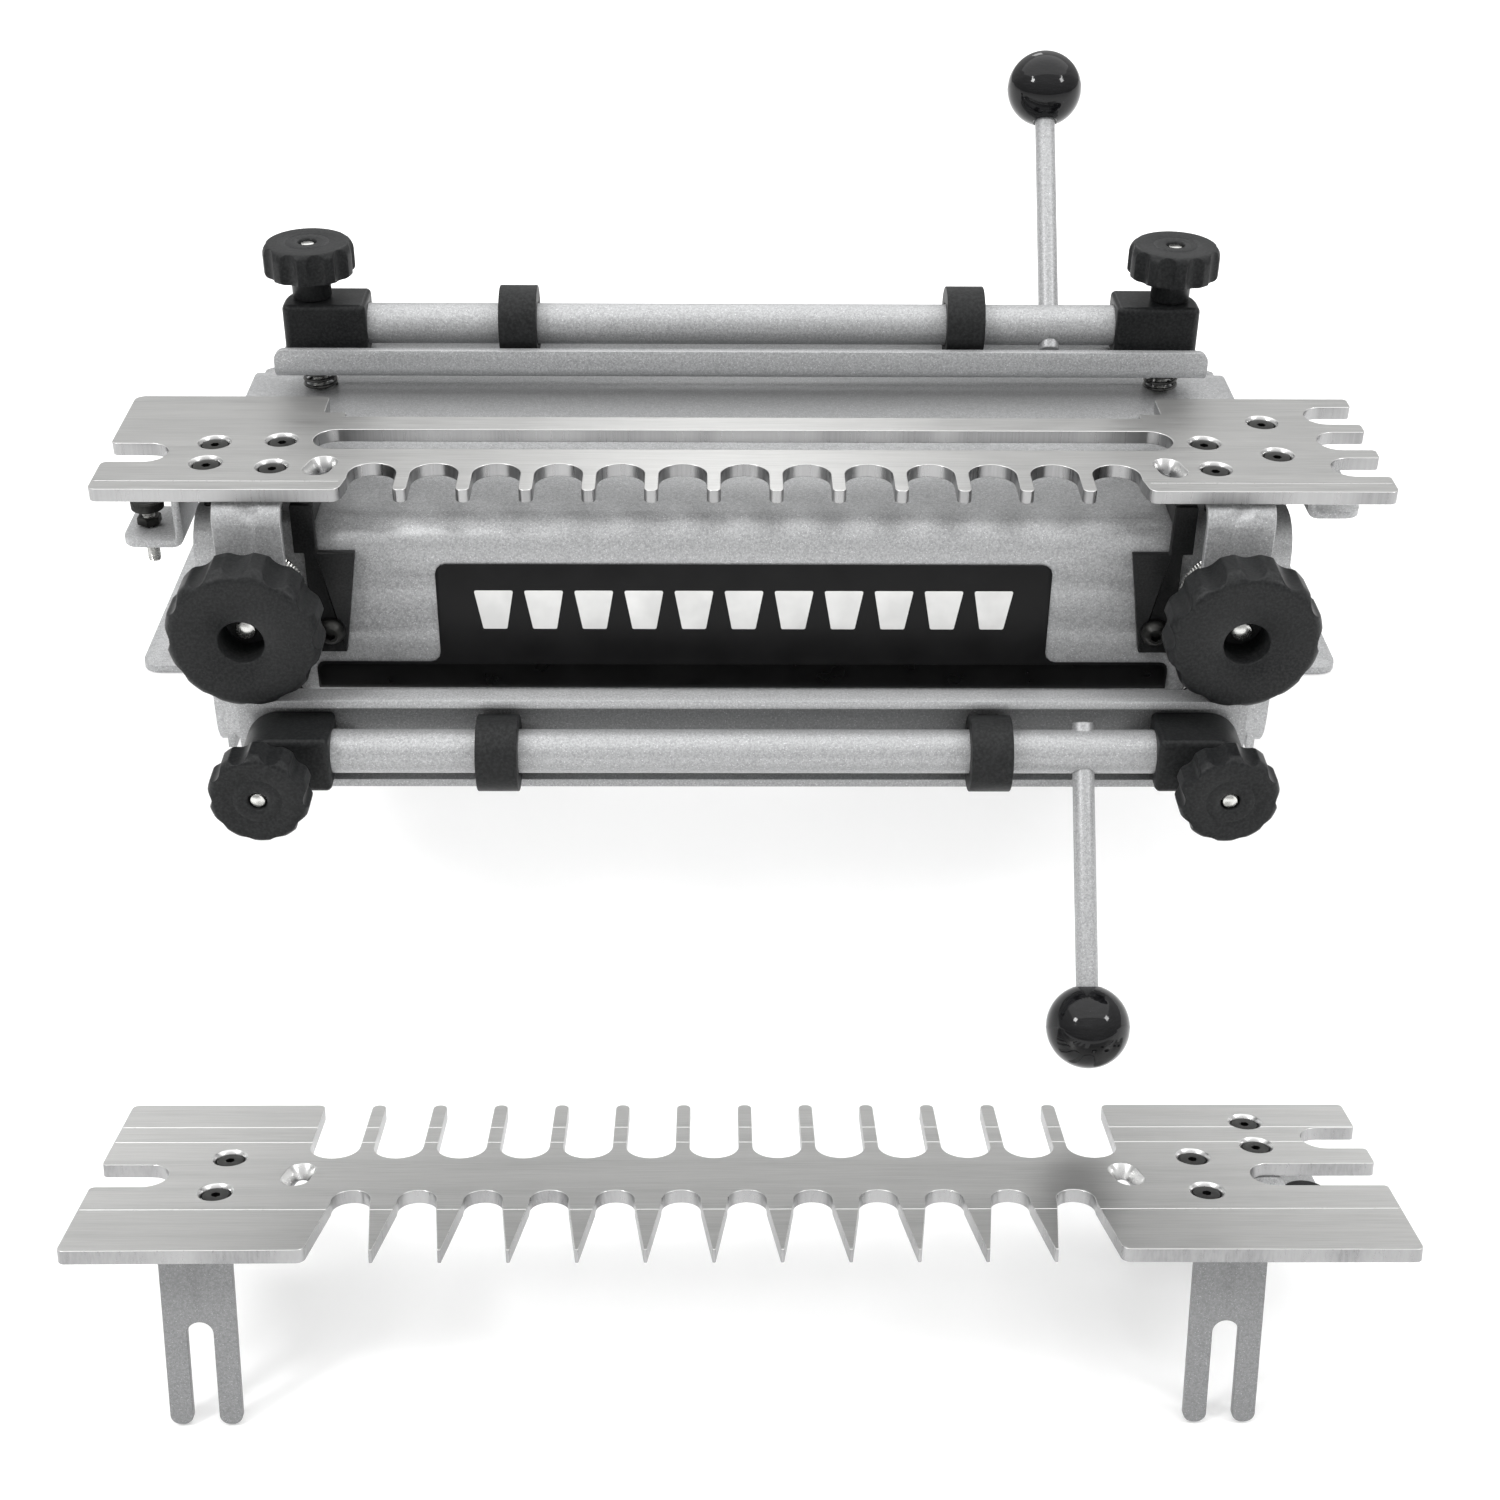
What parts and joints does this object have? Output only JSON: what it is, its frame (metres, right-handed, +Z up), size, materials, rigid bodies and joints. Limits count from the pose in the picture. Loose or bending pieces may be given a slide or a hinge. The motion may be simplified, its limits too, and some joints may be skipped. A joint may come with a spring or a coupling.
{
  "type": "dovetail jig",
  "caption": "Bench jig that clamps two boards at right angles with cam-lever bars under a finger template, with a spare tapered-finger template standing in front.",
  "frame": {"origin": "centre of the underside of the base's front foot", "axes": "+X along the jig to the operator's right, +Y from the operator to the back, +Z up"},
  "size_m": [0.486, 0.4081, 0.358],
  "materials": {
    "silver_paint": "fine metallic silver grey powder coat, satin",
    "label_black": "satin black badge plate",
    "guide_black": "satin black",
    "black_oxide": "black oxide steel, semi-gloss",
    "zinc_steel": "bright zinc-plated steel",
    "black_rubber": "matte black",
    "black_plastic": "fine-textured satin black",
    "gloss_black": "polished black phenolic",
    "brushed_aluminium": "bright machined and fine brushed"
  },
  "bodies": {
    "base": {"base_body": "silver_paint", "front_label": "label_black", "left_guide_screw": "black_oxide", "right_guide_screw": "black_oxide", "top_left_stud": "zinc_steel", "top_right_stud": "zinc_steel", "front_left_stud": "zinc_steel", "front_right_stud": "zinc_steel", "left_template_stud": "zinc_steel", "right_template_stud": "zinc_steel", "top_left_spring": "zinc_steel", "top_right_spring": "zinc_steel", "front_left_spring": "zinc_steel", "front_right_spring": "zinc_steel"},
    "left_guide": {"left_stock_guide": "guide_black"},
    "right_guide": {"right_stock_guide": "guide_black"},
    "top_carriage": {"top_left_end_block": "black_plastic", "top_right_end_block": "black_plastic"},
    "top_cam": {"top_cam_tube": "silver_paint", "top_left_cam_ring": "black_rubber", "top_right_cam_ring": "black_rubber", "top_lever_rod": "silver_paint", "top_lever_ball": "gloss_black"},
    "top_bar": {"top_clamp_bar": "silver_paint"},
    "top_left_knob_turn": {"top_left_knob": "black_plastic"},
    "top_right_knob_turn": {"top_right_knob": "black_plastic"},
    "front_carriage": {"front_left_end_block": "black_plastic", "front_right_end_block": "black_plastic"},
    "front_cam": {"front_cam_tube": "silver_paint", "front_left_cam_ring": "black_rubber", "front_right_cam_ring": "black_rubber", "front_lever_rod": "silver_paint", "front_lever_ball": "gloss_black"},
    "front_bar": {"front_clamp_bar": "silver_paint"},
    "front_left_knob_turn": {"front_left_knob": "black_plastic"},
    "front_right_knob_turn": {"front_right_knob": "black_plastic"},
    "template_mount": {"left_adjusting_nut": "zinc_steel", "right_adjusting_nut": "zinc_steel"},
    "template": {"half_blind_template": "brushed_aluminium", "left_template_bracket": "silver_paint", "right_template_bracket": "silver_paint", "left_depth_bracket": "silver_paint", "right_depth_bracket": "silver_paint", "depth_gauge_nut": "black_oxide", "left_outer_rear_screw": "black_oxide", "left_outer_front_screw": "black_oxide", "left_inner_rear_screw": "black_oxide", "left_inner_front_screw": "black_oxide", "right_outer_rear_screw": "black_oxide", "right_outer_front_screw": "black_oxide", "right_inner_rear_screw": "black_oxide", "right_inner_front_screw": "black_oxide"},
    "left_template_knob_turn": {"left_template_knob": "black_plastic"},
    "right_template_knob_turn": {"right_template_knob": "black_plastic"},
    "depth_screw_turn": {"depth_gauge_screw": "black_oxide"},
    "spare": {"through_dovetail_template": "brushed_aluminium", "spare_left_bracket": "silver_paint", "spare_right_bracket": "silver_paint", "spare_depth_bracket": "silver_paint"},
    "spare_knob_turn": {"spare_depth_knob": "black_plastic"}
  },
  "joints": [
    {"name": "left_guide_slide", "type": "slide", "parent": "base", "child": "left_guide", "axis": [1, 0, 0], "range_m": [0, 0.004]},
    {"name": "right_guide_slide", "type": "slide", "parent": "base", "child": "right_guide", "axis": [1, 0, 0], "range_m": [-0.004, 0]},
    {"name": "top_carriage_slide", "type": "slide", "parent": "base", "child": "top_carriage", "axis": [0, 0, 1], "range_m": [-0.007, 0], "deforming": ["top_left_spring", "top_right_spring"]},
    {"name": "top_cam_turn", "type": "hinge", "parent": "top_carriage", "child": "top_cam", "pos_m": [0, 0.109, 0.1244], "axis": [1, 0, 0], "range_deg": [0, 90]},
    {"name": "top_bar_press", "type": "slide", "parent": "top_carriage", "child": "top_bar", "axis": [0, 0, 1], "range_m": [-0.0012, 0]},
    {"name": "top_left_knob_spin", "type": "hinge", "parent": "top_carriage", "child": "top_left_knob_turn", "pos_m": [-0.171, 0.109, 0.1244], "axis": [0, 0, 1], "continuous": true},
    {"name": "top_right_knob_spin", "type": "hinge", "parent": "top_carriage", "child": "top_right_knob_turn", "pos_m": [0.171, 0.109, 0.1244], "axis": [0, 0, 1], "continuous": true},
    {"name": "front_carriage_slide", "type": "slide", "parent": "base", "child": "front_carriage", "axis": [0, 1, 0], "range_m": [0, 0.012], "deforming": ["front_left_spring", "front_right_spring"]},
    {"name": "front_cam_turn", "type": "hinge", "parent": "front_carriage", "child": "front_cam", "pos_m": [0, -0.055, 0.025], "axis": [-1, 0, 0], "range_deg": [0, 90]},
    {"name": "front_bar_press", "type": "slide", "parent": "front_carriage", "child": "front_bar", "axis": [0, 1, 0], "range_m": [0, 0.0012]},
    {"name": "front_left_knob_spin", "type": "hinge", "parent": "front_carriage", "child": "front_left_knob_turn", "pos_m": [-0.171, -0.055, 0.025], "axis": [0, 1, 0], "continuous": true},
    {"name": "front_right_knob_spin", "type": "hinge", "parent": "front_carriage", "child": "front_right_knob_turn", "pos_m": [0.171, -0.055, 0.025], "axis": [0, 1, 0], "continuous": true},
    {"name": "template_mount_slide", "type": "slide", "parent": "base", "child": "template_mount", "axis": [0, 1, 0], "range_m": [-0.006, 0]},
    {"name": "template_lift", "type": "slide", "parent": "template_mount", "child": "template", "axis": [0, 0, 1], "range_m": [0, 0.04]},
    {"name": "left_template_knob_spin", "type": "hinge", "parent": "template_mount", "child": "left_template_knob_turn", "pos_m": [-0.177, -0.0293, 0.0715], "axis": [0, 1, 0], "continuous": true},
    {"name": "right_template_knob_spin", "type": "hinge", "parent": "template_mount", "child": "right_template_knob_turn", "pos_m": [0.177, -0.0293, 0.0715], "axis": [0, 1, 0], "continuous": true},
    {"name": "depth_screw_spin", "type": "hinge", "parent": "template", "child": "depth_screw_turn", "pos_m": [-0.2197, 0.0038, 0.09], "axis": [0, 0, 1], "continuous": true},
    {"name": "spare_slide", "type": "slide", "parent": "base", "child": "spare", "axis": [0, -1, 0], "range_m": [0, 0.15]},
    {"name": "spare_knob_spin", "type": "hinge", "parent": "spare", "child": "spare_knob_turn", "pos_m": [0.1979, -0.15707, -0.07823], "axis": [0, 0.2521, 0.9677], "continuous": true}
  ],
  "couplings": [
    {"joint": "top_bar_press", "follows": "top_cam_turn", "m_per_rad": -0.00076394},
    {"joint": "front_bar_press", "follows": "front_cam_turn", "m_per_rad": 0.00076394}
  ]
}
